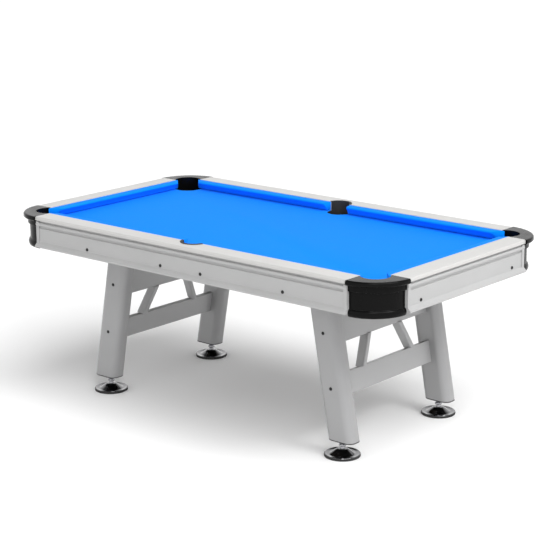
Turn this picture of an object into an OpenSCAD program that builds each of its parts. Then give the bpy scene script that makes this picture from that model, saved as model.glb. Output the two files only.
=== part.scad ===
// Pool table with six drop pockets, rounded corner castings and levelling feet.
// Origin on the floor under the middle of the table. X is the length, Y the width.

/* [Table] */
// Length over the rails
table_l = 2030; // [1780:10:2700]
// Width over the rails
table_w = 1130; // [1000:10:1500]
// Height from the floor to the rail tops
table_h = 800; // [740:5:860]

/* [Rails] */
// Width of the flat rail top
rail_w = 84; // [70:1:110]
// Thickness of the rail cap that overhangs the apron
cap_t = 16; // [10:1:22]
// Radius on the outer upper edge of the cap
cap_round = 7; // [2:1:9]
// Width of a cushion from the rail to its nose
cushion_w = 40; // [34:1:48]
// Height of the rail tops above the cloth
rail_above_bed = 40; // [36:1:44]
// Height of the cushion nose above the cloth
nose_h = 36; // [34:1:38]
// Thickness of the cushion nose
nose_t = 8; // [5:1:10]
// Width of the bevel above the nose
nose_bevel = 4; // [2:0.5:6]
// Width of a cushion's foot beside the rail
cushion_foot = 20; // [12:1:28]
// Gap between a cushion's foot and the cloth
cushion_gap = 1; // [0.5:0.25:2]

/* [Bed] */
// Thickness of the playing board
bed_t = 22; // [16:1:30]
// Thickness of the bed cloth
cloth_t = 1.2; // [0.8:0.1:2]

/* [Pockets] */
// Radius of a corner pocket hole
corner_hole_r = 60; // [56:1:64]
// Radius of a side pocket hole
side_hole_r = 48; // [44:1:54]
// Distance of a side pocket centre from the rail's outer edge
side_pocket_in = 94; // [90:1:100]
// Opening between the cushion noses at a side pocket
side_mouth = 128; // [122:1:136]
// Angle by which a side pocket's jaws close towards its throat
side_jaw = 14; // [8:1:20]
// Opening between the cushion noses at a corner pocket
corner_mouth = 98; // [90:1:118]
// Width of a side liner's lip on the rail
side_lip_w = 6; // [3:1:10]
// Height of a side liner's lip above the rail
side_lip_h = 2; // [1:0.5:4]
// Wall of the pocket liners and cups
cup_wall = 4; // [3:0.5:5]
// Depth of a cup below the playing board
cup_depth = 58; // [50:1:60]
// Width of the cups' rim under the playing board
cup_rim = 6; // [4:1:10]

/* [Corner castings] */
// Length of each side that a corner casting takes up
corner_len = 166; // [158:1:180]
// How far the top flange stands out past the rails
flange_out = 8; // [4:1:12]
// Thickness of the top flange
flange_t = 20; // [16:1:26]
// Radius on the flange's outer upper edge
flange_round = 8; // [3:1:10]
// Bevel on the flange's outer lower edge
flange_bevel = 4; // [1:0.5:5]
// How far the casting wall sits inside the rail edge
casting_in = 18; // [14:1:24]
// How far the two beads stand out of the casting wall
bead_out = 8; // [4:1:9]
// Height of the upper bead
upper_bead_h = 25; // [18:1:30]
// Height of the slope under the upper bead
bead_slope = 4; // [1:1:6]
// Height of the lower bead
lower_bead_h = 30; // [22:1:34]
// How far the casting reaches below the aprons
casting_drop = 12; // [4:1:18]
// Thickness of the casting wall
casting_wall = 6; // [4:1:8]

/* [Aprons] */
// Height of the apron's lower edge above the floor
apron_z = 667; // [620:1:690]
// How far the lower lip stands out past the rails
lip_out = 8; // [2:1:12]
// Height of the lower lip
lip_h = 21; // [14:1:28]
// Height of the lip's upright edge
lip_edge_h = 6; // [3:1:10]
// How far the flat panel sits inside the rail edge
panel_in = 7; // [4:1:10]
// Height of the moulding band under the cap
moulding_h = 15; // [8:1:18]
// How far the moulding's crest sits inside the rail edge
moulding_in = 2; // [0:0.5:4]
// Height of each shadow groove beside the moulding
groove_h = 10; // [6:1:12]
// Depth of the grooves behind the panel's face
groove_d = 4; // [2:0.5:6]
// Width of the end strip beside each casting
end_strip_w = 16; // [10:1:24]
// How far an end strip stands out of the panel
end_strip_out = 3; // [1:0.5:4]
// Gap between an end strip and the rail cap
end_strip_gap = 5; // [3:1:8]
// Distance of the apron's inner face from the rail edge
apron_in = 20; // [18:1:26]

/* [Under-frame] */
// Width of the beams under the playing board
beam_w = 50; // [40:2:60]
// Height of the beams
beam_h = 58; // [40:2:62]
// Length of the legs' mounting plates along the table
plate_l = 170; // [150:2:200]
// Thickness of the legs' mounting plates
plate_t = 6; // [4:1:8]

/* [Legs] */
// Distance of the foot centres from the middle, along the table
foot_x = 653; // [560:1:720]
// Distance of the foot centres from the middle, across the table
foot_y = 330; // [290:1:340]
// Outward lean of the legs
splay = 10.25; // [4:0.25:12]
// Size of a leg along the table
leg_x = 123; // [100:1:140]
// Size of a leg across the table
leg_y = 77; // [70:1:90]
// Corner radius of a leg
leg_round = 30; // [10:1:34]
// Wall of a leg
leg_wall = 3; // [2:0.5:6]
// Height of the leg's lower end above the floor
leg_z = 70; // [62:1:90]
// Outward offset of the leg's lower end from the foot centre
leg_off = 8; // [0:1:12]
// Thickness of the cap under each leg
cap_under_t = 4; // [3:1:6]

/* [End frames] */
// Height of the stretcher's middle above the floor
stretcher_z = 280; // [240:2:320]
// Height of a stretcher
stretcher_h = 91; // [60:1:110]
// Thickness of a stretcher
stretcher_t = 20; // [14:1:30]
// Height of the top rail's middle above the floor
top_rail_z = 500; // [470:2:540]
// Height of a top rail
top_rail_h = 112; // [80:1:130]
// Thickness of a top rail
top_rail_t = 30; // [20:1:40]
// Size of a brace along the table
brace_x = 44; // [24:1:56]
// Thickness of a brace
brace_t = 22; // [14:1:30]
// Distance of a brace's upper end from the middle of its frame
brace_top_y = 104; // [80:2:130]
// Distance of a brace's lower end from the middle of its frame
brace_bottom_y = 164; // [140:2:190]
// Corner radius of a brace
brace_round = 6; // [4:1:10]
// Wall of the stretchers, top rails and braces
tube_wall = 3; // [2:0.5:4]

/* [Bolts] */
// Diameter of a bolt head
bolt_d = 14; // [10:1:18]
// Height of a bolt head
bolt_h = 4; // [3:0.5:6]
// Radius of the bolt heads' dome
bolt_dome = 11; // [9:0.5:14]
// Distance of the outer apron bolts from the middle, along the table
outer_bolt_x = 537; // [420:1:700]
// Distance of the inner apron bolts from the middle, along the table
inner_bolt_x = 110; // [60:1:300]
// Distance of the end apron bolts from the middle, across the table
end_bolt_y = 313; // [200:1:360]
// Height of the apron bolts above the floor
apron_bolt_z = 699; // [696:1:720]

/* [Levelling feet] */
// Diameter of a foot disc
disc_d = 146; // [110:2:150]
// Height of a foot disc's neck above the floor
disc_h = 30; // [28:1:34]
// Height of the disc's upright rim above the pad
disc_rim_h = 5; // [3:1:6]
// Width of the bevel inside the disc's rim
disc_bevel = 3; // [1:0.5:5]
// Radius of the dish where the cone starts
dish_r = 48; // [42:1:52]
// Height of the dish above the floor where the cone starts
dish_z = 9; // [8:0.5:12]
// Radius of the cone's foot
cone_r = 38; // [32:1:41]
// Radius of the neck around the ball seat
neck_r = 23; // [20:0.5:26]
// Bevel on the neck's upper edge
neck_bevel = 2; // [1:0.5:4]
// Thickness of the rubber pad under a foot disc
pad_t = 5; // [3:1:6]
// Diameter of a levelling stud
stud_d = 20; // [14:1:24]
// Radial clearance of the stud in its threaded insert and in the disc
stud_clear = 0.05; // [0.02:0.01:0.1]
// How far a foot screws in or out from its middle place
foot_travel = 15; // [5:1:18]
// Radius of the round seat at the stud's lower end
ball_r = 15; // [13:0.5:16]
// Height of the round seat
ball_h = 10; // [8:0.5:12]
// Height of the seat's underside above the floor
seat_z = 14; // [12:0.5:15]
// Size of the stud's spanner hexagon across its corners
hex_d = 30; // [26:1:34]
// Height of the spanner hexagon
hex_h = 9; // [6:1:9]
// Gap left above the hexagon with the foot screwed in
hex_gap = 2; // [1:0.5:3]
// Radius of a threaded insert
insert_r = 17; // [14:0.5:20]
// Length of a threaded insert
insert_h = 34; // [24:1:40]
// Length of spare thread above the insert with the foot screwed out
spare_thread = 17; // [8:1:24]

/* [Hidden] */
$fn = 96;

// Each corner or half is named by its signs: -1 is left or near, 1 is right or far
left = -1;
right = 1;
near = -1;
far = 1;

half_l = table_l / 2;
half_w = table_w / 2;

// Heights
cloth_z = table_h - rail_above_bed;
board_z = cloth_z - cloth_t;
board_under = board_z - bed_t;
cap_z = table_h - cap_t;
beam_z = board_under - beam_h;
casting_z = apron_z - casting_drop;
above = table_h + side_lip_h + 1;

// Pockets
corner_in = rail_w + cushion_w;
corner_cut = corner_hole_r + cup_wall;
side_cut = side_hole_r + cup_wall;
corner_nose = corner_in + corner_mouth / sqrt(2);
side_throat = side_mouth / 2 - cushion_w * tan(side_jaw);

// Corner castings
flange_r = corner_len + flange_out;
wall_r = corner_len - casting_in;
bead_r = wall_r + bead_out;

// Legs and end frames, in a frame that leans outward with the legs
leg_foot_x = foot_x + leg_off;
leg_top = beam_z - plate_t;
cross_x = leg_foot_x - (leg_top - leg_z) * tan(splay);
lean_len = 1 / cos(splay);
stretcher_mid = (stretcher_z - leg_z) * lean_len;
top_rail_mid = (top_rail_z - leg_z) * lean_len;
frame_span = 2 * foot_y - leg_y;
brace_low = stretcher_mid + stretcher_h / 2;
brace_high = top_rail_mid - top_rail_h / 2;

// Levelling feet
insert_z = leg_z - cap_under_t;
hex_z = insert_z - foot_travel - hex_gap - hex_h;
stud_top = insert_z + insert_h + foot_travel + spare_thread;

// Shapes drawn for the far right corner, moved to the corner with signs sx and sy
module at_corner(sx, sy) {
    mirror([sx < 0 ? 1 : 0, 0, 0])
        mirror([0, sy < 0 ? 1 : 0, 0])
            children();
}

// ---- Bed ----

// Outline of the playing board with its six pocket notches
module bed_outline(edge, hole_extra) {
    difference() {
        square([table_l - 2 * edge, table_w - 2 * edge], center = true);
        for (sx = [-1, 1], sy = [-1, 1]) {
            translate([sx * (half_l - corner_in), sy * (half_w - corner_in)]) {
                circle(r = corner_cut + hole_extra);
                rotate([0, 0, atan2(sy, sx)])
                    translate([0, -table_w / 2])
                        square([table_w, table_w]);
            }
        }
        for (sy = [-1, 1])
            translate([0, sy * (half_w - side_pocket_in)]) {
                circle(r = side_cut + hole_extra);
                translate([-side_cut - hole_extra, sy > 0 ? 0 : -table_w])
                    square([2 * (side_cut + hole_extra), table_w]);
            }
    }
}

module bed_board() {
    color("peru")
        translate([0, 0, board_under])
            linear_extrude(bed_t)
                bed_outline(apron_in, 0);
}

module bed_cloth() {
    color("dodgerblue")
        translate([0, 0, board_z])
            linear_extrude(cloth_t)
                bed_outline(rail_w, 0);
}

// ---- Rails ----

// Section of a rail: x runs inward from its outer edge, y is the height
module rail_section() {
    polygon(concat(
        [[0, cap_z]],
        [for (a = [180:-10:90]) [cap_round + cap_round * cos(a), table_h - cap_round + cap_round * sin(a)]],
        [[rail_w, table_h], [rail_w, board_z], [apron_in, board_z], [apron_in, cap_z]]
    ));
}

// A bar of the given section whose outer edge lies on the X axis, running from x0 to x1
module rail_bar(x0, x1) {
    translate([x0, 0, 0])
        rotate([90, 0, 90])
            linear_extrude(x1 - x0)
                children();
}

// Right half of the far rail
module long_rail_half() {
    difference() {
        translate([0, half_w, 0])
            mirror([0, 1, 0])
                rail_bar(0, half_l - corner_len)
                    rail_section();
        translate([0, half_w - side_pocket_in, 0])
            cylinder(r = side_cut, h = above);
    }
}

module long_rail(sx, sy) {
    color("gainsboro") at_corner(sx, sy) long_rail_half();
}

module end_rail(sx) {
    color("gainsboro")
        mirror([sx < 0 ? 1 : 0, 0, 0])
            translate([half_l, 0, 0])
                rotate([0, 0, 90])
                    rail_bar(-(half_w - corner_len), half_w - corner_len)
                        rail_section();
}

// ---- Cushions ----

// Section of a cushion: x runs inward from the rail's outer edge, y is the height
module cushion_section() {
    nose_z = cloth_z + nose_h;
    foot_z = cloth_z + cushion_gap;
    polygon([
        [rail_w, table_h - cushion_gap],
        [corner_in - nose_bevel, nose_z + nose_bevel / 2],
        [corner_in, nose_z],
        [corner_in, nose_z - nose_t],
        [rail_w + cushion_foot, foot_z],
        [rail_w, foot_z]
    ]);
}

module long_cushion(sx, sy) {
    color("deepskyblue")
        at_corner(sx, sy)
            intersection() {
                translate([0, half_w, 0])
                    mirror([0, 1, 0])
                        rail_bar(0, half_l)
                            cushion_section();
                linear_extrude(above)
                    polygon([
                        [side_mouth / 2, half_w - corner_in],
                        [half_l - corner_nose, half_w - corner_in],
                        [half_l - corner_nose + cushion_w, half_w - rail_w],
                        [side_throat, half_w - rail_w]
                    ]);
            }
}

module end_cushion(sx) {
    end_half = half_w - corner_nose;
    color("deepskyblue")
        mirror([sx < 0 ? 1 : 0, 0, 0])
            intersection() {
                translate([half_l, 0, 0])
                    rotate([0, 0, 90])
                        rail_bar(-half_w, half_w)
                            cushion_section();
                linear_extrude(above)
                    polygon([
                        [half_l - corner_in, -end_half],
                        [half_l - corner_in, end_half],
                        [half_l - rail_w, end_half + cushion_w],
                        [half_l - rail_w, -end_half - cushion_w]
                    ]);
            }
}

// ---- Corner castings ----

// Section of the casting's outer wall: x is the distance from the arc's centre, y the height
module casting_section() {
    flange_z = table_h - flange_t;
    upper_bead_z = flange_z - upper_bead_h;
    lower_round = lower_bead_h / 2;
    edge_r = flange_r - flange_round;
    edge_z = table_h - flange_round;
    polygon(concat(
        [[wall_r - casting_wall, casting_z]],
        [for (a = [-90:15:90]) [wall_r + bead_out * cos(a), casting_z + lower_round + lower_round * sin(a)]],
        [[wall_r, upper_bead_z - bead_slope], [bead_r, upper_bead_z], [bead_r, flange_z]],
        [[flange_r - flange_bevel, flange_z], [flange_r, flange_z + flange_bevel]],
        [for (a = [0:15:90]) [edge_r + flange_round * cos(a), edge_z + flange_round * sin(a)]],
        [[wall_r - casting_wall, table_h]]
    ));
}

// Casting drawn for the far right corner, centred on its arc
module corner_casting_shape() {
    hole = [corner_len - corner_in, corner_len - corner_in, 0];
    translate([half_l - corner_len, half_w - corner_len, 0])
        difference() {
            union() {
                rotate_extrude(angle = 90)
                    casting_section();
                // Top plate inside the wall, between the two rails
                translate([0, 0, cap_z])
                    intersection() {
                        cylinder(r = wall_r, h = cap_t);
                        cube([corner_len, corner_len, cap_t]);
                    }
                // Throat that lines the pocket on its outer side
                translate([0, 0, board_under])
                    intersection() {
                        translate(hole) cylinder(r = corner_cut, h = table_h - board_under);
                        cube([corner_len, corner_len, table_h]);
                    }
            }
            translate(hole) cylinder(r = corner_hole_r, h = above);
        }
}

module corner_casting(sx, sy) {
    color([0.09, 0.09, 0.1]) at_corner(sx, sy) corner_casting_shape();
}

// ---- Pockets ----

// Hanging cup with a rim under the playing board
module cup_shape(hole_r) {
    cup_r = hole_r + cup_wall;
    cup_z = board_under - cup_depth;
    difference() {
        union() {
            translate([0, 0, cup_z]) cylinder(r = cup_r, h = cup_depth);
            translate([0, 0, board_under - cup_wall]) cylinder(r = cup_r + cup_rim, h = cup_wall);
        }
        translate([0, 0, cup_z + cup_wall]) cylinder(r = hole_r, h = cup_depth);
    }
}

module corner_cup(sx, sy) {
    color([0.13, 0.13, 0.14])
        translate([sx * (half_l - corner_in), sy * (half_w - corner_in), 0])
            cup_shape(corner_hole_r);
}

// Liner in the far rail with a lip on top and its own cup below
module side_pocket_shape() {
    rail_back = side_pocket_in - rail_w;
    cup_shape(side_hole_r);
    difference() {
        union() {
            translate([0, 0, board_under]) cylinder(r = side_cut, h = table_h - board_under);
            translate([0, 0, table_h]) cylinder(r = side_cut + side_lip_w, h = side_lip_h);
        }
        cylinder(r = side_hole_r, h = above);
        // Open towards the table above the cloth, and clear of the cushions
        translate([-table_w / 2, -table_w + rail_back, board_z])
            cube([table_w, table_w, table_h]);
    }
}

module side_pocket(sy) {
    color([0.13, 0.13, 0.14])
        mirror([0, sy < 0 ? 1 : 0, 0])
            translate([0, half_w - side_pocket_in, 0])
                side_pocket_shape();
}

// ---- Aprons ----

// Section of an apron: x runs inward from the rail's outer edge, y is the height
module apron_section() {
    groove_in = panel_in + groove_d;
    moulding_top = cap_z - groove_h;
    moulding_mid = moulding_top - moulding_h / 2;
    moulding_low = moulding_top - moulding_h;
    panel_top = moulding_low - groove_h;
    bulge = panel_in - moulding_in;
    polygon(concat(
        [[apron_in, apron_z], [-lip_out, apron_z], [-lip_out, apron_z + lip_edge_h]],
        [[panel_in, apron_z + lip_h], [panel_in, panel_top]],
        [[groove_in, panel_top], [groove_in, moulding_low]],
        [for (a = [-90:15:90]) [panel_in - bulge * cos(a), moulding_mid + moulding_h / 2 * sin(a)]],
        [[groove_in, moulding_top], [groove_in, cap_z], [apron_in, cap_z]]
    ));
}

// Section of the upright strip that closes each end of an apron
module strip_section() {
    strip_in = panel_in - end_strip_out;
    strip_z = apron_z + lip_edge_h;
    translate([strip_in, strip_z])
        square([apron_in - strip_in, cap_z - end_strip_gap - strip_z]);
}

// Apron along X of the given half length, outer face towards +Y at y = 0
module apron_bar(half_len) {
    mirror([0, 1, 0]) {
        rail_bar(-half_len, half_len) apron_section();
        rail_bar(-half_len, -half_len + end_strip_w) strip_section();
        rail_bar(half_len - end_strip_w, half_len) strip_section();
    }
}

module long_apron(sy) {
    color("silver")
        mirror([0, sy < 0 ? 1 : 0, 0])
            translate([0, half_w, 0])
                apron_bar(half_l - corner_len);
}

module end_apron(sx) {
    color("silver")
        mirror([sx < 0 ? 1 : 0, 0, 0])
            translate([half_l, 0, 0])
                rotate([0, 0, -90])
                    apron_bar(half_w - corner_len);
}

// ---- Under-frame ----

module long_beam(sy) {
    long_beam_l = 2 * cross_x + plate_l;
    color("dimgray")
        translate([-long_beam_l / 2, sy * foot_y - beam_w / 2, beam_z])
            cube([long_beam_l, beam_w, beam_h]);
}

module cross_beam(x) {
    span = 2 * foot_y - beam_w;
    color("dimgray")
        translate([x - beam_w / 2, -span / 2, beam_z])
            cube([beam_w, span, beam_h]);
}

// ---- Legs and end frames ----

// Places parts drawn upright over a leg's lower end into the leaning end frame
module in_end_frame(sx) {
    mirror([sx < 0 ? 1 : 0, 0, 0])
        translate([leg_foot_x, 0, leg_z])
            rotate([0, -splay, 0])
                children();
}

module rounded_bar(size_x, size_y, radius, length) {
    linear_extrude(length)
        union() {
            square([size_x - 2 * radius, size_y], center = true);
            square([size_x, size_y - 2 * radius], center = true);
            for (ix = [-1, 1], iy = [-1, 1])
                translate([ix * (size_x / 2 - radius), iy * (size_y / 2 - radius)])
                    circle(r = radius);
        }
}

// Keeps what lies between two heights
module between(z0, z1) {
    intersection() {
        children();
        translate([-table_l, -table_l, z0])
            cube([2 * table_l, 2 * table_l, z1 - z0]);
    }
}

module leg(sx, sy) {
    leg_len = (table_h - leg_z) * lean_len;
    inner_x = leg_x - 2 * leg_wall;
    inner_y = leg_y - 2 * leg_wall;
    color("darkgray")
        difference() {
            union() {
                between(leg_z, leg_top)
                    in_end_frame(sx)
                        translate([0, sy * foot_y, -leg_len / 2])
                            rounded_bar(leg_x, leg_y, leg_round, 2 * leg_len);
                // Mounting plate under the long beam
                translate([sx * cross_x - plate_l / 2, sy * foot_y - leg_y / 2, leg_top])
                    cube([plate_l, leg_y, plate_t]);
            }
            between(leg_z + leg_wall, leg_top - leg_wall)
                in_end_frame(sx)
                    translate([0, sy * foot_y, -leg_len / 2])
                        rounded_bar(inner_x, inner_y, leg_round - leg_wall, 2 * leg_len);
            // Seat of the threaded insert in the lower end
            translate([sx * foot_x, sy * foot_y, 0])
                cylinder(r = insert_r, h = leg_z + 2 * leg_wall);
        }
}

// Hollow bar from leg to leg of an end frame
module cross_tube(thickness, height, middle) {
    inner_t = thickness - 2 * tube_wall;
    inner_h = height - 2 * tube_wall;
    difference() {
        translate([-thickness / 2, -frame_span / 2, middle - height / 2])
            cube([thickness, frame_span, height]);
        translate([-inner_t / 2, -frame_span, middle - inner_h / 2])
            cube([inner_t, 2 * frame_span, inner_h]);
    }
}

module top_rail(sx) {
    color("gray") in_end_frame(sx) cross_tube(top_rail_t, top_rail_h, top_rail_mid);
}

module stretcher(sx) {
    color("gray") in_end_frame(sx) cross_tube(stretcher_t, stretcher_h, stretcher_mid);
}

// Leaning tube from the stretcher up to the top rail
module brace(sx, sy) {
    rise = brace_high - brace_low;
    lean = atan((brace_bottom_y - brace_top_y) / rise);
    inner_x = brace_x - 2 * tube_wall;
    inner_y = brace_t - 2 * tube_wall;
    color("gray")
        in_end_frame(sx)
            intersection() {
                translate([0, sy * (brace_top_y + brace_bottom_y) / 2, (brace_low + brace_high) / 2])
                    rotate([sy * lean, 0, 0])
                        translate([0, 0, -rise])
                            difference() {
                                rounded_bar(brace_x, brace_t, brace_round, 2 * rise);
                                rounded_bar(inner_x, inner_y, brace_round - tube_wall, 2 * rise);
                            }
                translate([-brace_x, -foot_y, brace_low])
                    cube([2 * brace_x, 2 * foot_y, rise]);
            }
}

module leg_end_caps() {
    color([0.1, 0.1, 0.1])
        for (sx = [-1, 1], sy = [-1, 1])
            difference() {
                between(leg_z - cap_under_t, leg_z)
                    in_end_frame(sx)
                        translate([0, sy * foot_y, -leg_z])
                            rounded_bar(leg_x, leg_y, leg_round, 2 * leg_z);
                translate([sx * foot_x, sy * foot_y, 0])
                    cylinder(r = insert_r, h = 2 * leg_z);
            }
}

module stud_inserts() {
    color("silver")
        for (sx = [-1, 1], sy = [-1, 1])
            translate([sx * foot_x, sy * foot_y, 0])
                difference() {
                    translate([0, 0, insert_z]) cylinder(r = insert_r, h = insert_h);
                    cylinder(r = stud_d / 2 + stud_clear, h = stud_top);
                }
}

// ---- Bolts ----

// Domed bolt head that sits at the origin and stands out along +Y
module bolt_head() {
    rotate([-90, 0, 0])
        intersection() {
            cylinder(d = bolt_d, h = bolt_h);
            translate([0, 0, bolt_h - bolt_dome]) sphere(r = bolt_dome);
        }
}

module frame_bolts() {
    color([0.2, 0.2, 0.2])
        for (sx = [-1, 1], sy = [-1, 1]) {
            // Through each leg into the stretcher and the top rail
            for (height = [stretcher_mid, top_rail_mid])
                in_end_frame(sx)
                    mirror([0, sy < 0 ? 1 : 0, 0])
                        translate([0, foot_y + leg_y / 2, height])
                            bolt_head();
            // Through the long aprons
            for (x = [inner_bolt_x, outer_bolt_x])
                mirror([0, sy < 0 ? 1 : 0, 0])
                    translate([sx * x, half_w - panel_in, apron_bolt_z])
                        bolt_head();
            // Through the end aprons
            mirror([sx < 0 ? 1 : 0, 0, 0])
                translate([half_l - panel_in, sy * end_bolt_y, apron_bolt_z])
                    rotate([0, 0, -90])
                        bolt_head();
        }
}

// ---- Levelling feet ----

module at_foot(sx, sy) {
    translate([sx * foot_x, sy * foot_y, 0]) children();
}

// Rubber pad under the disc
module pad(sx, sy) {
    color([0.08, 0.08, 0.08])
        at_foot(sx, sy)
            cylinder(r = disc_d / 2, h = pad_t);
}

// Plated dish with a raised cone and neck that hold the stud's round seat
module disc(sx, sy) {
    rim_z = pad_t + disc_rim_h;
    seat_r = ball_r + stud_clear;
    seat_top = seat_z + ball_h + stud_clear;
    throat_r = stud_d / 2 + stud_clear;
    color("lightgray")
        at_foot(sx, sy)
            rotate_extrude()
                polygon([
                    [0, pad_t], [disc_d / 2, pad_t], [disc_d / 2, rim_z],
                    [disc_d / 2 - disc_bevel, rim_z + disc_bevel / 2], [dish_r, dish_z], [cone_r, dish_z + 1],
                    [neck_r, disc_h - neck_bevel], [neck_r - neck_bevel, disc_h], [throat_r, disc_h],
                    [throat_r, seat_top], [seat_r, seat_top], [seat_r, seat_z], [0, seat_z]
                ]);
}

// Threaded stud with a hexagon for the spanner and a round seat that turns in the disc
module stud(sx, sy) {
    color("silver")
        at_foot(sx, sy) {
            translate([0, 0, seat_z]) cylinder(r = ball_r, h = ball_h);
            translate([0, 0, seat_z]) cylinder(d = stud_d, h = stud_top - seat_z);
            translate([0, 0, hex_z]) cylinder(d = hex_d, h = hex_h, $fn = 6);
        }
}

bed_board();
bed_cloth();
long_rail(left, near);  // rail_near_left
long_rail(right, near);  // rail_near_right
long_rail(left, far);  // rail_far_left
long_rail(right, far);  // rail_far_right
end_rail(left);  // rail_end_left
end_rail(right);  // rail_end_right
long_cushion(left, near);  // cushion_near_left
long_cushion(right, near);  // cushion_near_right
long_cushion(left, far);  // cushion_far_left
long_cushion(right, far);  // cushion_far_right
end_cushion(left);  // cushion_end_left
end_cushion(right);  // cushion_end_right
corner_casting(left, near);  // corner_near_left
corner_casting(right, near);  // corner_near_right
corner_casting(left, far);  // corner_far_left
corner_casting(right, far);  // corner_far_right
side_pocket(near);  // side_pocket_near
side_pocket(far);  // side_pocket_far
corner_cup(left, near);  // cup_near_left
corner_cup(right, near);  // cup_near_right
corner_cup(left, far);  // cup_far_left
corner_cup(right, far);  // cup_far_right
long_apron(near);  // apron_near
long_apron(far);  // apron_far
end_apron(left);  // apron_left
end_apron(right);  // apron_right
long_beam(near);  // long_beam_near
long_beam(far);  // long_beam_far
cross_beam(-cross_x);  // cross_beam_left
cross_beam(0);  // cross_beam_middle
cross_beam(cross_x);  // cross_beam_right
leg(left, near);  // leg_near_left
leg(right, near);  // leg_near_right
leg(left, far);  // leg_far_left
leg(right, far);  // leg_far_right
top_rail(left);  // top_rail_left
top_rail(right);  // top_rail_right
stretcher(left);  // stretcher_left
stretcher(right);  // stretcher_right
brace(left, near);  // brace_near_left
brace(right, near);  // brace_near_right
brace(left, far);  // brace_far_left
brace(right, far);  // brace_far_right
leg_end_caps();
stud_inserts();
frame_bolts();
stud(left, near);  // stud_near_left
stud(right, near);  // stud_near_right
stud(left, far);  // stud_far_left
stud(right, far);  // stud_far_right
disc(left, near);  // disc_near_left
disc(right, near);  // disc_near_right
disc(left, far);  // disc_far_left
disc(right, far);  // disc_far_right
pad(left, near);  // pad_near_left
pad(right, near);  // pad_near_right
pad(left, far);  // pad_far_left
pad(right, far);  // pad_far_right
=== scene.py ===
# Pool table with drop pockets, black corner castings and splayed legs on levelling feet.
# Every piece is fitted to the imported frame: metres, origin on the floor under the middle.
import math

import bmesh
import bpy
from mathutils import Matrix, Vector


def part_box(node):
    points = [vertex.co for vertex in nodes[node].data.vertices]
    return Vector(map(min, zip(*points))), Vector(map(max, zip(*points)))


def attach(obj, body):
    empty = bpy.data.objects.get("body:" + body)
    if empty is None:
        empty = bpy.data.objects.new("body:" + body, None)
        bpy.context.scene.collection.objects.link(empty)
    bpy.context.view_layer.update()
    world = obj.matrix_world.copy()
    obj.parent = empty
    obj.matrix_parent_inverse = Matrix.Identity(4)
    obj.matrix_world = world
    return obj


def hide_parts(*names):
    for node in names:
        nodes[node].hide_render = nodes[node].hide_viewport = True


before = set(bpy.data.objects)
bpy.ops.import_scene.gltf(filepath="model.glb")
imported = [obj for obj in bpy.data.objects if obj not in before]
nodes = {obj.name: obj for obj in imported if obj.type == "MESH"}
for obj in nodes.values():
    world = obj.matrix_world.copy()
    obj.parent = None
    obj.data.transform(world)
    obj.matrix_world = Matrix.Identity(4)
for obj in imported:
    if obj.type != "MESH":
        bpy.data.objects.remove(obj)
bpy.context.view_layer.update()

# ---------------------------------------------------------------- Playing board
# One sheet of fibreboard, coloured nearly black as painted shade for the dark under the table, and sawn with
# a notch for each pocket.
# Only its edges and underside show, with the saw's fine fuzz on them.


def feed(tree, socket, value):
    """Links an output socket to an input, or sets the input to a plain value."""
    if isinstance(value, bpy.types.NodeSocket):
        tree.links.new(value, socket)
    else:
        socket.default_value = value


def node(tree, kind, inputs=None, **settings):
    """A shader node with its inputs fed and its settings set."""
    made = tree.nodes.new(kind)
    for name, value in settings.items():
        setattr(made, name, value)
    for name, value in (inputs or {}).items():
        feed(tree, made.inputs[name], value)
    return made


def new_group(name, inputs, outputs):
    """An empty node group; each socket is name: (type, default)."""
    tree = bpy.data.node_groups.new(name, "ShaderNodeTree")
    for way, sockets in (("INPUT", inputs), ("OUTPUT", outputs)):
        for label, (kind, default) in sockets.items():
            socket = tree.interface.new_socket(name=label, in_out=way, socket_type=kind)
            if default is not None:
                socket.default_value = default
    return tree, tree.nodes.new("NodeGroupInput").outputs, tree.nodes.new("NodeGroupOutput").inputs


NUMBER, COLOUR, VECTOR = "NodeSocketFloat", "NodeSocketColor", "NodeSocketVector"
GREY = (0.5, 0.5, 0.5, 1)


def math_node(tree, operation, a, b):
    return node(tree, "ShaderNodeMath", {0: a, 1: b}, operation=operation).outputs[0]


FACTOR_IN, FIRST_COLOUR_IN, SECOND_COLOUR_IN, COLOUR_OUT = 0, 6, 7, 2


def mix_colours(tree, factor, a, b):
    inputs = {FACTOR_IN: factor, FIRST_COLOUR_IN: a, SECOND_COLOUR_IN: b}
    return node(tree, "ShaderNodeMix", inputs, data_type="RGBA").outputs[COLOUR_OUT]


def place(tree, scale=(1, 1, 1)):
    """Position on the piece in metres, stretched by scale."""
    where = node(tree, "ShaderNodeTexCoord").outputs["Object"]
    return node(tree, "ShaderNodeMapping", {"Vector": where, "Scale": scale}).outputs[0]


def noise(tree, where, scale, detail, rough=0.55):
    inputs = {"Vector": where, "Scale": scale, "Detail": detail, "Roughness": rough}
    return node(tree, "ShaderNodeTexNoise", inputs).outputs["Fac"]


def scaled_colour(tree, colour, shade):
    return node(tree, "ShaderNodeVectorMath", {0: colour, "Scale": shade}, operation="SCALE").outputs[0]


EDGE_GAIN = 4.0
PATCH_GAIN, PATCH_CUT = 2.6, 0.9


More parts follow.
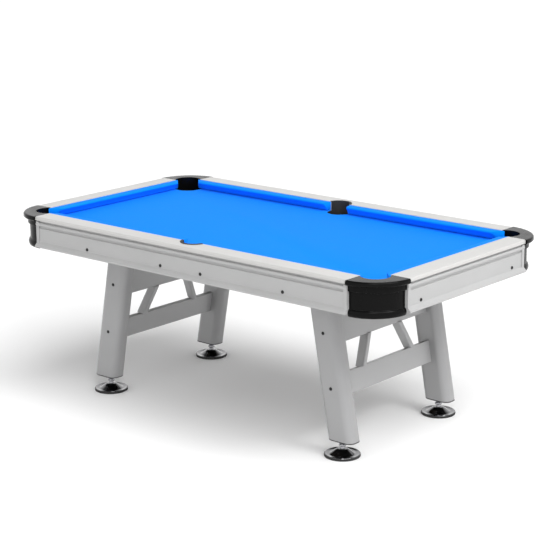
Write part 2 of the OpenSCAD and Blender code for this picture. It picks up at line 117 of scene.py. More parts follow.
def worn_edges_group():
    """Rounds hard edges in the shading and marks them where handling has rubbed them."""
    tree, given, made = new_group(
        "worn edges",
        {"Radius": (NUMBER, 0.001), "Patchiness": (NUMBER, 60.0)},
        {"Mask": (NUMBER, None), "Normal": (VECTOR, None)},
    )
    eased = node(tree, "ShaderNodeBevel", {"Radius": given["Radius"]}, samples=4).outputs[0]
    flat = node(tree, "ShaderNodeNewGeometry").outputs["Normal"]
    along = node(tree, "ShaderNodeVectorMath", {0: eased, 1: flat}, operation="DOT_PRODUCT").outputs["Value"]
    turned_away = math_node(tree, "MULTIPLY", math_node(tree, "SUBTRACT", 1.0, along), EDGE_GAIN)
    patches = noise(tree, place(tree), given["Patchiness"], 4.0)
    sharp = math_node(tree, "SUBTRACT", math_node(tree, "MULTIPLY", patches, PATCH_GAIN), PATCH_CUT)
    worn = node(tree, "ShaderNodeClamp", {"Value": math_node(tree, "MULTIPLY", turned_away, sharp)})
    tree.links.new(worn.outputs[0], made["Mask"])
    tree.links.new(eased, made["Normal"])
    return tree


SCRATCH_TURN, SCRATCH_DRAW = (0.5, 0.3, 0.9), (3, 90, 40)
SCRATCH_LOW, SCRATCH_HIGH = 0.6, 0.72
CLOUD_GAIN, CLOUD_DULLING, SCRATCH_DEPTH = 4.0, 0.35, 1.5


def grain_group():
    """Cloudy colour, fine pitting and faint scratches, for paint, laminate and mouldings."""
    tree, given, made = new_group(
        "surface grain",
        {
            "Colour": (COLOUR, GREY), "Vary": (NUMBER, 0.05), "Cloud size": (NUMBER, 7.0),
            "Pit size": (NUMBER, 900.0), "Roughness": (NUMBER, 0.4), "Scratches": (NUMBER, 0.1),
        },
        {"Colour": (COLOUR, None), "Roughness": (NUMBER, None), "Height": (NUMBER, None)},
    )
    where = place(tree)
    cloud = noise(tree, where, given["Cloud size"], 5.0)
    pits = noise(tree, where, given["Pit size"], 2.0)
    drawn = {"Vector": where, "Rotation": SCRATCH_TURN, "Scale": SCRATCH_DRAW}
    scratch = noise(tree, node(tree, "ShaderNodeMapping", drawn).outputs[0], 4.0, 6.0, 0.7)
    band = {"Value": scratch, "From Min": SCRATCH_LOW, "From Max": SCRATCH_HIGH}
    fine = node(tree, "ShaderNodeMapRange", band).outputs[0]
    swing = math_node(tree, "MULTIPLY", math_node(tree, "SUBTRACT", cloud, 0.5), given["Vary"])
    shade = math_node(tree, "ADD", math_node(tree, "MULTIPLY", swing, CLOUD_GAIN), 1.0)
    tree.links.new(scaled_colour(tree, given["Colour"], shade), made["Colour"])
    dulled = math_node(tree, "MULTIPLY", math_node(tree, "SUBTRACT", cloud, 0.45), CLOUD_DULLING)
    rubbed = math_node(tree, "MULTIPLY", fine, given["Scratches"])
    rough = math_node(tree, "ADD", math_node(tree, "ADD", given["Roughness"], dulled), rubbed)
    tree.links.new(rough, made["Roughness"])
    deep = math_node(tree, "SUBTRACT", pits, math_node(tree, "MULTIPLY", rubbed, SCRATCH_DEPTH))
    tree.links.new(deep, made["Height"])
    return tree


worn_edges = worn_edges_group()
surface_grain = grain_group()


def group_node(tree, group, inputs):
    made = tree.nodes.new("ShaderNodeGroup")
    made.node_tree = group
    for name, value in inputs.items():
        feed(tree, made.inputs[name], value)
    return made.outputs


def new_finish(name, **sockets):
    """A material and its Principled shader, with the shader's own sockets set."""
    finish = bpy.data.materials.new(name)
    finish.use_nodes = True
    shader = finish.node_tree.nodes["Principled BSDF"]
    for label, value in sockets.items():
        shader.inputs[label.replace("_", " ")].default_value = value
    return finish, finish.node_tree, shader


def add_bump(tree, shader, strength, distance, height, normal=None):
    """Raises the surface by height; a normal, where given, is the one it starts from."""
    inputs = {"Strength": strength, "Distance": distance, "Height": height}
    if normal:
        inputs["Normal"] = normal
    tree.links.new(node(tree, "ShaderNodeBump", inputs).outputs[0], shader.inputs["Normal"])


def grained_finish(
    name, colour, rough, *, vary, cloud, pit, depth, edge, scratches=0.08, edge_radius=0.001, **sockets
):
    """Paint, laminate, moulded plastic or metal: grain over the face and wear on the edges."""
    finish, tree, shader = new_finish(name, **sockets)
    grain = group_node(tree, surface_grain, {
        "Colour": (*colour, 1), "Vary": vary, "Cloud size": cloud, "Pit size": pit,
        "Roughness": rough, "Scratches": scratches,
    })
    worn = group_node(tree, worn_edges, {"Radius": edge_radius})
    bared = mix_colours(tree, worn["Mask"], grain["Colour"], (*edge, 1))
    tree.links.new(bared, shader.inputs["Base Color"])
    tree.links.new(grain["Roughness"], shader.inputs["Roughness"])
    add_bump(tree, shader, depth, 0.0002, grain["Height"], worn["Normal"])
    return finish


def dress(names, finish):
    for name in names:
        piece = nodes[name]
        if not piece.material_slots:
            piece.data.materials.append(finish)
        for holder in piece.material_slots:
            holder.material = finish


# Near-black colour: painted shade for the dark under the table, as the chrome feet reflect it.
fibreboard = grained_finish(
    "fibreboard in painted shade black", (0.030, 0.024, 0.019), 0.85,
    vary=0.12, cloud=260.0, pit=1500.0, depth=0.5, edge=(0.10, 0.07, 0.045),
)
dress(["bed_board"], fibreboard)

# ---------------------------------------------------------------- Bed cloth
# Worsted billiard cloth, stretched over the board and stapled under it. It lies flat,
# rolls down over the board's edge at the corner pockets and stops at the side liners.

bed_low, bed_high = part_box("bed_cloth")
bed_half_l, bed_half_w, bed_z = bed_high.x, bed_high.y, bed_high.z
cloth_t = bed_high.z - bed_low.z
CUP_RIM = 0.006
ROLL_RADIUS = 0.003
ROLL_STEPS = 5
HANG = 0.0195
HEM_SLANT = 0.001
SIDE_DRAW = 0.0006
HAIR = 0.0001
SIDE_STEPS, CORNER_STEPS = 12, 32
BETWEEN = (0.25, 0.5, 0.75)


def middle_of(name):
    low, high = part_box(name)
    return (low + high) / 2


corner_pocket = middle_of("cup_far_right").xy
corner_notch_r = (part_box("cup_far_right")[1].x - corner_pocket.x) - CUP_RIM
side_pocket = middle_of("side_pocket_far").xy
side_notch_r = (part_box("side_pocket_far")[1].x - side_pocket.x) - CUP_RIM


def quarter_outline(corner_r, side_r):
    """Edge of the far right quarter of the cloth from the side pocket round to the right end.
    Each point is (x, y, how far the cloth rolls down there)."""
    points = []
    for step in range(SIDE_STEPS + 1):
        angle = math.radians(-90 + 90 * step / SIDE_STEPS)
        points.append((side_r * math.cos(angle), side_pocket.y + side_r * math.sin(angle), 0))
    points.append((side_r, bed_half_w, 0))
    first = math.pi - math.asin((bed_half_w - corner_pocket.y) / corner_r)
    last = 2 * math.pi - math.acos((bed_half_l - corner_pocket.x) / corner_r)
    start_x = corner_pocket.x + corner_r * math.cos(first)
    for share in BETWEEN:
        points.append((side_r + share * (start_x - side_r), bed_half_w, 0))
    for step in range(CORNER_STEPS + 1):
        angle = first + (last - first) * step / CORNER_STEPS
        x = corner_pocket.x + corner_r * math.cos(angle)
        y = corner_pocket.y + corner_r * math.sin(angle)
        points.append((x, y, 1))
    end_y = points[-1][1]
    for share in BETWEEN:
        points.append((bed_half_l, end_y * (1 - share), 0))
    return points


def full_outline(corner_r, side_r):
    """The quarter mirrored to all four, running clockwise from the far side pocket."""
    quarter = quarter_outline(corner_r, side_r)
    right_half = quarter + [(bed_half_l, 0, 0)] + [(x, -y, roll) for x, y, roll in reversed(quarter)]
    left_half = [(-x, y, roll) for x, y, roll in reversed(right_half)]
    return right_half + left_half[1:-1]


def new_piece(name, mesh, finish, body, smooth_angle=40):
    """Turns a bmesh into a piece that rides on a body, with sharp edges kept crisp."""
    bmesh.ops.recalc_face_normals(mesh, faces=mesh.faces)
    data = bpy.data.meshes.new(name)
    mesh.to_mesh(data)
    mesh.free()
    data.polygons.foreach_set("use_smooth", [True] * len(data.polygons))
    data.set_sharp_from_angle(angle=math.radians(smooth_angle))
    data.materials.append(finish)
    piece = bpy.data.objects.new(name, data)
    bpy.context.scene.collection.objects.link(piece)
    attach(piece, body)
    return piece


def skin(mesh, rings):
    """Joins rings of points into a closed skin; a ring of one point is a pole."""
    rows = [[mesh.verts.new(point) for point in ring] for ring in rings]
    for a, b in zip(rows, rows[1:]):
        count = max(len(a), len(b))
        for i in range(count):
            j = (i + 1) % count
            corners = [a[i % len(a)], a[j % len(a)], b[j % len(b)], b[i % len(b)]]
            mesh.faces.new(list(dict.fromkeys(corners)))
    for row in (rows[0], rows[-1]):
        if len(row) > 2:
            mesh.faces.new(row)


def cloth_rings():
    """Top, roll and hanging edge, then back up the inside to the underside."""
    rings = []
    hang_r = corner_notch_r - cloth_t
    for step in range(ROLL_STEPS + 1):
        turn = math.pi / 2 * step / ROLL_STEPS
        out = ROLL_RADIUS * (1 - math.sin(turn))
        drop = ROLL_RADIUS * (1 - math.cos(turn))
        rings.append((hang_r + out, drop))
    rings.append((hang_r, HANG + HEM_SLANT))
    rings.append((corner_notch_r - HAIR, HANG))
    rings.append((corner_notch_r - HAIR, cloth_t + 2 * HAIR))
    made = []
    for index, (radius, drop) in enumerate(rings):
        share = index / len(rings)
        points = full_outline(radius, side_notch_r + SIDE_DRAW * (1 - share))
        made.append([(x, y, bed_z - (drop if roll else share * cloth_t)) for x, y, roll in points])
    return made


CLOTH_BLUE = (0.001, 0.235, 0.88)
THREADS, NAP, BRUSHING = 330.0, 1400.0, 9.0
NAP_SHADE, BRUSH_SHADE = 0.16, 0.10


def billiard_cloth(name, colour):
    """Short brushed nap over a fine worsted weave, a little uneven where balls have run."""
    finish, tree, shader = new_finish(name, Sheen_Weight=0.02, Sheen_Roughness=0.5, Specular_IOR_Level=0.04)
    where = place(tree)
    nap = noise(tree, where, NAP, 2.0)
    brushed = noise(tree, place(tree, (1, 3, 3)), BRUSHING, 5.0)
    thread = {"Vector": where, "Scale": THREADS, "Distortion": 1.5, "Detail": 1.0}
    warp = node(tree, "ShaderNodeTexWave", thread).outputs["Fac"]
    weft = node(tree, "ShaderNodeTexWave", thread, bands_direction="Y").outputs["Fac"]
    weave = math_node(tree, "MULTIPLY", math_node(tree, "MULTIPLY", warp, weft), 0.4)
    swept = math_node(tree, "ADD", math_node(tree, "MULTIPLY", brushed, BRUSH_SHADE), 1 - BRUSH_SHADE)
    fleck = math_node(tree, "MULTIPLY", math_node(tree, "SUBTRACT", nap, 0.5), NAP_SHADE)
    toned = scaled_colour(tree, colour, math_node(tree, "ADD", swept, fleck))
    tree.links.new(toned, shader.inputs["Base Color"])
    rough = math_node(tree, "ADD", math_node(tree, "MULTIPLY", brushed, 0.1), 0.82)
    tree.links.new(rough, shader.inputs["Roughness"])
    add_bump(tree, shader, 0.35, 0.0003, math_node(tree, "ADD", weave, nap))
    return finish


bed_finish = billiard_cloth("bed cloth", CLOTH_BLUE)
cloth_mesh = bmesh.new()
skin(cloth_mesh, cloth_rings())
cloth = new_piece("bed_cloth_sheet", cloth_mesh, bed_finish, "table")
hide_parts("bed_cloth")

# ---------------------------------------------------------------- Cushions
# Moulded rubber strips under the same cloth, coloured a more saturated blue than the bed as painted shade
# for their shaded faces, glued to the rails with a feather strip.
# The nose leans over the bed, and the ends are cut back to open the pockets.

SIGNS = {"left": -1, "right": 1, "near": -1, "far": 1}
CORNERS = ["near_left", "near_right", "far_left", "far_right"]
# More saturated blue than the bed cloth: painted shade of the cushions' shaded faces.
CUSHION_SHADED_BLUE = (0.001, 0.235, 0.98)
PROFILE = [
    (0.00, 0.0372), (0.02, 0.0384), (0.30, 0.0387), (0.62, 0.0384), (0.80, 0.0378), (0.92, 0.0366),
    (0.98, 0.0345), (1.00, 0.0318), (0.985, 0.0292), (0.94, 0.0272), (0.82, 0.0225), (0.66, 0.0145),
    (0.55, 0.0072), (0.50, 0.0030), (0.40, 0.0016), (0.20, 0.0014), (0.00, 0.0014),
]
END_ROUND = 0.0025
END_SIZES = [(0.0, 0.94), (0.35, 0.985), (1.0, 1.0)]
STATIONS = 24
MIDDLE_HEIGHT = 0.02
SIDE_JAW, CORNER_JAW = math.tan(math.radians(14)), 1.0
cushion_shaded_finish = billiard_cloth("cushion cloth in painted shade blue", CUSHION_SHADED_BLUE)


def corner_signs(corner):
    across, along = corner.split("_")
    return SIGNS[along], SIGNS[across]


def cushion(name, low_end, low_slope, high_end, high_slope, width, put):
    """Lofts the profile from end to end; an end's place shifts by its slope times the distance
    from the rail, and put turns (along, in from the rail, height) into the table's axes."""
    rings = []
    shares = [("low", gap, size) for gap, size in END_SIZES]
    shares += [("between", step / STATIONS, 1.0) for step in range(1, STATIONS)]
    shares += [("high", gap, size) for gap, size in reversed(END_SIZES)]
    for kind, share, size in shares:
        ring = []
        for across, height in PROFILE:
            u = width * (0.5 + (across - 0.5) * size)
            if across == 0:
                u = 0.0
            z = bed_z + MIDDLE_HEIGHT + (height - MIDDLE_HEIGHT) * size
            start = low_end + low_slope * u
            stop = high_end + high_slope * u
            if kind == "low":
                t = start + share * END_ROUND
            elif kind == "high":
                t = stop - share * END_ROUND
            else:
                t = start + END_ROUND + share * (stop - start - 2 * END_ROUND)
            ring.append(put(t, u, z))
        rings.append(ring)
    mesh = bmesh.new()
    skin(mesh, rings)
    made = new_piece("cloth_" + name, mesh, cushion_shaded_finish, "table", 50)
    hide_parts(name)


side_low, side_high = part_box("cushion_far_right")
cushion_w = side_high.y - side_low.y
end_low, end_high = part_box("cushion_end_right")
for corner in CORNERS:
    sx, sy = corner_signs(corner)
    cushion("cushion_" + corner, side_low.x, SIDE_JAW, side_high.x, -CORNER_JAW, cushion_w,
            lambda t, u, z, sx=sx, sy=sy: (sx * t, sy * (side_high.y - u), z))
for side in ("left", "right"):
    cushion("cushion_end_" + side, end_low.y, CORNER_JAW, end_high.y, -CORNER_JAW, cushion_w,
            lambda t, u, z, sx=SIGNS[side]: (sx * (end_high.x - u), t, z))

# ---------------------------------------------------------------- Rails
# Fibreboard rails wrapped in a pale grey laminate, with the outer edge rounded over.
# They are screwed up from below, and their ends butt against the corner castings.

rail_laminate = grained_finish(
    "rail laminate", (0.47, 0.465, 0.455), 0.36,
    vary=0.03, cloud=5.0, pit=700.0, depth=0.12, edge=(0.54, 0.54, 0.54), edge_radius=0.0012,
)
dress([name for name in nodes if name.startswith("rail_")], rail_laminate)

# ---------------------------------------------------------------- Aprons
# Silver-grey laminated boards under the rails: a moulding between two grooves, a flat
# panel and a flared lower lip, closed at each end by an upright strip.

apron_laminate = grained_finish(
    "apron laminate", (0.36, 0.36, 0.36), 0.38,
    vary=0.035, cloud=4.0, pit=600.0, depth=0.12, edge=(0.44, 0.44, 0.44), edge_radius=0.0012,
)
dress([name for name in nodes if name.startswith("apron_")], apron_laminate)

# ---------------------------------------------------------------- Corner castings
# Glossy black moulded corners with a thick top flange, two beads and a pocket throat.
# Each joins two rails and two aprons, and is screwed to them from the inside.

corner_plastic = grained_finish(
    "corner moulding", (0.003, 0.003, 0.003), 0.2,
    vary=0.08, cloud=18.0, pit=500.0, depth=0.08, scratches=0.12,
    edge=(0.03, 0.03, 0.03), edge_radius=0.004, Specular_IOR_Level=0.08,
)
dress(["corner_" + corner for corner in CORNERS], corner_plastic)

# ---------------------------------------------------------------- Pocket cups and liners
# Soft black mouldings that hang under the board. The side pockets have a collar that is let
# into the rail, with a thin lip on top.

pocket_rubber = grained_finish(
    "pocket rubber", (0.014, 0.014, 0.015), 0.62,
    vary=0.12, cloud=30.0, pit=1200.0, depth=0.4, edge=(0.035, 0.035, 0.035),
)
dress(["cup_" + corner for corner in CORNERS] + ["side_pocket_near", "side_pocket_far"], pocket_rubber)

# ---------------------------------------------------------------- Beams
# Planed softwood bearers, coloured near black like the board as painted shade for the dark
# under the table, and screwed under it. Two run the length of the table and three lie across them.


def timber_finish(name, pale, dark):
    """Softwood in the given pale and dark colours, with growth rings and fibres running along the table."""
    finish, tree, shader = new_finish(name, Specular_IOR_Level=0.25)
    along = place(tree, (0.6, 9, 9))
    rings = node(tree, "ShaderNodeTexWave", {
        "Vector": along, "Scale": 1.6, "Distortion": 9.0, "Detail": 4.0, "Detail Scale": 1.4,
    }, bands_direction="DIAGONAL").outputs["Fac"]
    fibre = noise(tree, place(tree, (4, 160, 160)), 6.0, 5.0)
    ringed = math_node(tree, "MULTIPLY", rings, 0.6)
    tone = math_node(tree, "ADD", ringed, math_node(tree, "MULTIPLY", fibre, 0.5))
    tree.links.new(mix_colours(tree, tone, (*dark, 1), (*pale, 1)), shader.inputs["Base Color"])
    rough = math_node(tree, "ADD", math_node(tree, "MULTIPLY", fibre, 0.2), 0.6)
    tree.links.new(rough, shader.inputs["Roughness"])
    worn = group_node(tree, worn_edges, {"Radius": 0.0015})
    add_bump(tree, shader, 0.3, 0.0004, fibre, worn["Normal"])
    return finish


# Near-black colours: painted shade for the dark under the table.
timber = timber_finish("timber in painted shade black", (0.055, 0.042, 0.032), (0.028, 0.021, 0.016))
dress([name for name in nodes if "_beam_" in name], timber)

# ---------------------------------------------------------------- Legs
# Rounded steel tubes that lean outward, sprayed silver grey. A plate welded on top is
# screwed to the beams, and a black plastic cap closes the foot.

leg_paint = grained_finish(
    "leg paint", (0.30, 0.30, 0.303), 0.34,
    vary=0.03, cloud=3.0, pit=450.0, depth=0.18, edge=(0.38, 0.38, 0.38), edge_radius=0.0015, Metallic=0.1,
)
dress(["leg_" + corner for corner in CORNERS], leg_paint)
cap_plastic = grained_finish(
    "cap plastic", (0.012, 0.012, 0.012), 0.5,
    vary=0.1, cloud=40.0, pit=1100.0, depth=0.3, edge=(0.04, 0.04, 0.04),
)
dress(["leg_end_caps"], cap_plastic)

# ---------------------------------------------------------------- End frames
# Box-section top rail and stretcher between each pair of legs, with two leaning braces.
# They are welded up in steel, sprayed like the legs and bolted through them.

frame_paint = grained_finish(
    "frame paint", (0.35, 0.35, 0.353), 0.36,
    vary=0.03, cloud=4.0, pit=450.0, depth=0.18, edge=(0.42, 0.42, 0.42), edge_radius=0.0015, Metallic=0.1,
)
dress([name for name in nodes if name.startswith(("top_rail_", "stretcher_", "brace_"))], frame_paint)

# ---------------------------------------------------------------- Bolts
# Blackened button-head screws with a hexagon socket, turned and then quenched in oil.
# They hold the end frames to the legs and the aprons to the beams.

SOCKET_R = 0.0028
HEAD = [
    (0.0070, 0.0000, 0), (0.0070, 0.0006, 0), (0.0067, 0.0014, 0), (0.0060, 0.0024, 0),
    (0.0049, 0.0033, 0), (0.0037, 0.0038, 0), (0.0033, 0.0039, 0), (SOCKET_R, 0.0037, 6),
    (SOCKET_R, 0.0016, 6), (0.0, 0.0012, 6),
]
LEG_SPLAY = math.radians(10.25)
foot = middle_of("pad_far_right").xy
LEG_OFFSET = 0.008
leg_foot_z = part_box("leg_far_right")[0].z
leg_face_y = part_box("leg_far_right")[1].y


def turned_ring(radius, height, sides, steps):
    """One ring of a turned solid; 0 sides is round, 6 a hexagon, and no radius is a pole."""
    ring = []
    for step in range(steps if radius else 1):
        angle = 2 * math.pi * step / steps
        reach = radius
        if sides:
            part = math.pi / sides
            reach = radius * math.cos(part) / math.cos((angle + part) % (2 * part) - part)
        ring.append(Vector((reach * math.cos(angle), reach * math.sin(angle), height)))
    return ring


def turned(mesh, rings, where, steps=24):
    """A turned solid from (radius, height, sides) rings."""
    made = []
    for radius, height, sides in rings:
        made.append([where @ point for point in turned_ring(radius, height, sides, steps)])
    skin(mesh, made)


def leg_middle_x(height):
    return foot.x + LEG_OFFSET - (height - leg_foot_z) * math.tan(LEG_SPLAY)


def facing(x, y, z, direction):
    """Stands a turned solid on a face, its axis along direction."""
    swing = Vector((0, 0, 1)).rotation_difference(Vector(direction))
    return Matrix.Translation((x, y, z)) @ swing.to_matrix().to_4x4()


APRON_BOLT_Z = 0.699
INNER_BOLT_X = 0.110
OUTER_BOLT_X = 0.537
END_BOLT_Y = 0.313
PANEL_IN = 0.007
BOLT_HEIGHTS = (0.280, 0.500)
half_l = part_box("rail_end_right")[1].x
half_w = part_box("rail_far_right")[1].y
black_steel = grained_finish(
    "blackened steel", (0.03, 0.03, 0.03), 0.38,
    vary=0.1, cloud=120.0, pit=2500.0, depth=0.2, edge=(0.12, 0.12, 0.12), edge_radius=0.0004, Metallic=0.85,
)
bolt_mesh = bmesh.new()
for sx in (-1, 1):
    for sy in (-1, 1):
        for height in BOLT_HEIGHTS:
            where = facing(sx * leg_middle_x(height), sy * leg_face_y, height, (0, sy, 0))
            turned(bolt_mesh, HEAD, where)
        for x in (INNER_BOLT_X, OUTER_BOLT_X):
            where = facing(sx * x, sy * (half_w - PANEL_IN), APRON_BOLT_Z, (0, sy, 0))
            turned(bolt_mesh, HEAD, where)
        where = facing(sx * (half_l - PANEL_IN), sy * END_BOLT_Y, APRON_BOLT_Z, (sx, 0, 0))
        turned(bolt_mesh, HEAD, where)
bolts = new_piece("button_head_screws", bolt_mesh, black_steel, "table")
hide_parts("frame_bolts")

# ---------------------------------------------------------------- Levelling feet
# A pressed, chrome-plated disc on a rubber pad holds the round end of an M20 stud; the plating is coloured
# dark as a painted reflection of dark surroundings.
# The stud screws into a steel insert in the leg's closed end.

THREAD_PITCH = 0.0025
THREAD_DEPTH = 0.0012
STEPS_PER_TURN = 6
SMUDGE = 0.12


def plated_finish(name, colour, rough):
    """Bright plating with hairline scratches and faint handling smudges."""
    finish, tree, shader = new_finish(name, Metallic=1.0)
    smudge = noise(tree, place(tree), 35.0, 4.0)
    hair = noise(tree, place(tree, (30, 2, 30)), 20.0, 6.0, 0.7)
    smeared = math_node(tree, "MULTIPLY", smudge, SMUDGE)
    toned = scaled_colour(tree, colour, math_node(tree, "ADD", smeared, 0.92))
    tree.links.new(toned, shader.inputs["Base Color"])
    dull = math_node(tree, "ADD", smeared, rough - SMUDGE / 2)
    tree.links.new(dull, shader.inputs["Roughness"])
    worn = group_node(tree, worn_edges, {"Radius": 0.0006})
    add_bump(tree, shader, 0.06, 0.0001, hair, worn["Normal"])
    return finish


# Chrome colour darkened well below real plating: painted dark reflection.
chrome = plated_finish("chrome plate with painted dark reflection", (0.16, 0.16, 0.165), 0.09)
zinc = plated_finish("zinc plate", (0.40, 0.40, 0.42), 0.26)
foot_rubber = grained_finish(
    "foot rubber", (0.012, 0.012, 0.012), 0.7,
    vary=0.1, cloud=60.0, pit=1300.0, depth=0.4, edge=(0.04, 0.04, 0.04),
)
dress(["stud_inserts"], zinc)
pad_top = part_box("pad_far_right")[1].z
disc_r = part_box("disc_far_right")[1].x - foot.x
disc_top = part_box("disc_far_right")[1].z
stud_low, stud_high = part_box("stud_far_right")
SEAT_R = 0.0149
SEAT_TOP = stud_low.z + 0.0099
SEAT_EASE = 0.001
HEX_LOW, HEX_HIGH = 0.040, 0.049
HEX_R, HEX_FACE_R = 0.015, 0.0126
HEX_EASE = 0.0014
STUD_R, STUD_TIP_R = 0.0099, 0.0072
BORE_R, SOCKET_BORE_R = 0.01015, 0.01505
SKIRT = 0.0015
SKIRT_TOP = 0.0045
GAP = 0.0001
plate_r = disc_r - SKIRT
PLATE_RIM = [
    (0.0008, 0.0), (0.0, 0.0008), (0.0, 0.0052), (0.0006, 0.0061),
    (0.0018, 0.0065), (0.0035, 0.0062), (0.0110, 0.0046),
]
DISH_R, DISH_LIFT = 0.0550, 0.0038
disc_rings = [(0.0, pad_top, 0)]
disc_rings += [(plate_r - inset, pad_top + lift, 0) for inset, lift in PLATE_RIM]
disc_rings.append((DISH_R, pad_top + DISH_LIFT, 0))
CONE_FOOT, CONE_NECK = 0.051, 0.0225
CONE_LIFT, CONE_SHORT = 0.0042, 0.0058
CONE_STEPS = 10
for step in range(CONE_STEPS + 1):
    share = step / CONE_STEPS
    rise = 0.7 * share + 0.15 * (1 - math.cos(math.pi * share))
    radius = CONE_FOOT + (CONE_NECK - CONE_FOOT) * share
    height = pad_top + CONE_LIFT + (disc_top - pad_top - CONE_SHORT) * rise
    disc_rings.append((radius, height, 0))
disc_rings += [
    (0.0212, disc_top - 0.0004, 0), (0.0200, disc_top, 0), (BORE_R, disc_top, 0),
    (BORE_R, SEAT_TOP + 2 * GAP, 0), (SOCKET_BORE_R, SEAT_TOP + 2 * GAP, 0),
    (SOCKET_BORE_R, stud_low.z, 0), (0.0, stud_low.z, 0),
]
skirt_top = pad_top + SKIRT_TOP
pad_rings = [
    (0.0, 0.0, 0), (0.058, 0.0, 0), (0.0585, 0.0010, 0), (0.0615, 0.0010, 0), (0.062, 0.0, 0),
    (disc_r - 0.0012, 0.0, 0), (disc_r - 0.0003, 0.0006, 0), (disc_r, 0.0015, 0),
    (disc_r, skirt_top - 0.0006, 0), (disc_r - 0.0006, skirt_top, 0), (plate_r + GAP, skirt_top, 0),
    (plate_r + GAP, pad_top, 0), (0.0, pad_top, 0),
]


STUD_STEPS = 48


def stud_mesh():
    """Round seat, plain neck, hexagon and a rolled thread up to a chamfered end."""
    root_r = STUD_R - THREAD_DEPTH
    plain = [
        (0.0, stud_low.z, 0), (SEAT_R - SEAT_EASE, stud_low.z, 0), (SEAT_R, stud_low.z + SEAT_EASE, 0),
        (SEAT_R, SEAT_TOP - 2 * SEAT_EASE, 0), (STUD_R, SEAT_TOP, 0), (root_r, HEX_LOW - 0.0006, 0),
        (HEX_FACE_R, HEX_LOW, 0), (HEX_R, HEX_LOW + HEX_EASE, 6), (HEX_R, HEX_HIGH - HEX_EASE, 6),
        (HEX_FACE_R, HEX_HIGH, 0), (root_r, HEX_HIGH, 0),
    ]
    rings = [turned_ring(radius, height, sides, STUD_STEPS) for radius, height, sides in plain]
    turns = (stud_high.z - HEX_HIGH - 0.003) / THREAD_PITCH
    for index in range(int(turns * STEPS_PER_TURN)):
        height = HEX_HIGH + 0.001 + index * THREAD_PITCH / STEPS_PER_TURN
        ring = []
        for step in range(STUD_STEPS):
            phase = (height / THREAD_PITCH - step / STUD_STEPS) % 1
            crest = min(1.0, max(0.0, 1.35 - abs(2 * phase - 1) * 1.7))
            reach = STUD_R - THREAD_DEPTH * (1 - crest)
            angle = 2 * math.pi * step / STUD_STEPS
            ring.append(Vector((reach * math.cos(angle), reach * math.sin(angle), height)))
        rings.append(ring)
    rings.append(turned_ring(root_r, stud_high.z - 0.0015, 0, STUD_STEPS))
    rings.append(turned_ring(STUD_TIP_R, stud_high.z, 0, STUD_STEPS))
    mesh = bmesh.new()
    skin(mesh, rings)
    return mesh


for corner in CORNERS:
    sx, sy = corner_signs(corner)
    stand = Matrix.Translation((sx * foot.x, sy * foot.y, 0))
    for part, rings, finish in (("disc", disc_rings, chrome), ("pad", pad_rings, foot_rubber)):
        mesh = bmesh.new()
        turned(mesh, rings, stand, 96)
        made = new_piece(f"{part}_turned_{corner}", mesh, finish, "foot_" + corner, 30)
        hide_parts(f"{part}_{corner}")
    mesh = stud_mesh()
    bmesh.ops.transform(mesh, matrix=stand, verts=mesh.verts)
    made = new_piece("threaded_stud_" + corner, mesh, zinc, "screw_" + corner, 35)
    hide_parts("stud_" + corner)

# ---------------------------------------------------------------- Studio
# A pale seamless floor and a pale room, with a broad silk overhead and two softboxes.
# The camera stands off the near right corner, a little above the table.

scene = bpy.context.scene
scene.view_settings.view_transform = "Standard"
FLOOR_SIZE = 200.0
floor_mesh = bmesh.new()
bmesh.ops.create_grid(floor_mesh, x_segments=1, y_segments=1, size=FLOOR_SIZE / 2)
floor_data = bpy.data.meshes.new("floor")
floor_mesh.to_mesh(floor_data)
floor_mesh.free()
floor_finish, _, floor_shader = new_finish("studio floor", Roughness=0.9, Specular_IOR_Level=0.1)
floor_shader.inputs["Base Color"].default_value = (0.93, 0.93, 0.93, 1)
floor_data.materials.append(floor_finish)
floor = bpy.data.objects.new("floor", floor_data)
scene.collection.objects.link(floor)

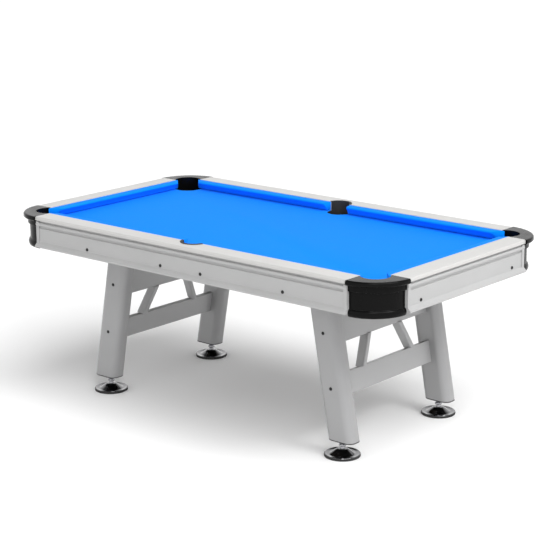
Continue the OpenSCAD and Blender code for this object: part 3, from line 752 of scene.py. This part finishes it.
world = bpy.data.worlds.new("studio")
world.use_nodes = True
HORIZON_GLOW, OVERHEAD_GLOW = 1.3, 0.12
GLOW_LOW, GLOW_HIGH = 0.45, 0.75
sky_tree = world.node_tree
heading = node(sky_tree, "ShaderNodeTexCoord").outputs["Generated"]
height = node(sky_tree, "ShaderNodeSeparateXYZ", {0: heading}).outputs["Z"]
glow = node(sky_tree, "ShaderNodeMapRange", {
    "Value": height, "From Min": GLOW_LOW, "From Max": GLOW_HIGH,
    "To Min": HORIZON_GLOW, "To Max": OVERHEAD_GLOW,
})
sky_tree.nodes["Background"].inputs["Color"].default_value = (1, 1, 1, 1)
sky_tree.links.new(glow.outputs[0], sky_tree.nodes["Background"].inputs["Strength"])
scene.world = world


SOFTBOX_SIZE, SOFTBOX_POWER = 1.1, 45
SOFTBOX_AIM = Vector((0.97, -0.52, 0.67))


def softbox(name, where):
    light = bpy.data.lights.new(name, "AREA")
    light.shape = "RECTANGLE"
    light.size, light.size_y = SOFTBOX_SIZE, SOFTBOX_SIZE
    light.energy = SOFTBOX_POWER
    lamp = bpy.data.objects.new(name, light)
    lamp.location = where
    lamp.rotation_euler = (SOFTBOX_AIM - Vector(where)).to_track_quat("-Z", "Y").to_euler()
    scene.collection.objects.link(lamp)


SILK_FROM = Vector((0.55, -0.08, 1))
sky = bpy.data.lights.new("overhead silk", "SUN")
sky.energy = 2.2
sky.angle = math.radians(50)
silk = bpy.data.objects.new("overhead silk", sky)
silk.rotation_euler = SILK_FROM.to_track_quat("Z", "Y").to_euler()
scene.collection.objects.link(silk)
softbox("front softbox", (2.87, -3.07, 3.85))
softbox("right softbox", (4.12, -0.06, 3.85))

EYE = Vector((4.5416, -5.3109, 2.3783))
HEADING, PITCH, ROLL = -0.7047, -0.2538, -0.0047
SENSOR_WIDTH = 36
FOCAL_SHARE = 3.0717418
forward = Vector((
    math.sin(HEADING) * math.cos(PITCH), math.cos(HEADING) * math.cos(PITCH), math.sin(PITCH),
))
level_right = forward.cross(Vector((0, 0, 1))).normalized()
level_up = level_right.cross(forward)
cam_right = math.cos(ROLL) * level_right + math.sin(ROLL) * level_up
cam_up = math.cos(ROLL) * level_up - math.sin(ROLL) * level_right
lens = bpy.data.cameras.new("camera")
lens.sensor_width = SENSOR_WIDTH
lens.lens = FOCAL_SHARE * SENSOR_WIDTH
camera = bpy.data.objects.new("camera", lens)
turn = Matrix((cam_right, cam_up, -forward)).transposed().to_4x4()
camera.matrix_world = Matrix.Translation(EYE) @ turn
scene.collection.objects.link(camera)
scene.camera = camera

bpy.context.view_layer.update()
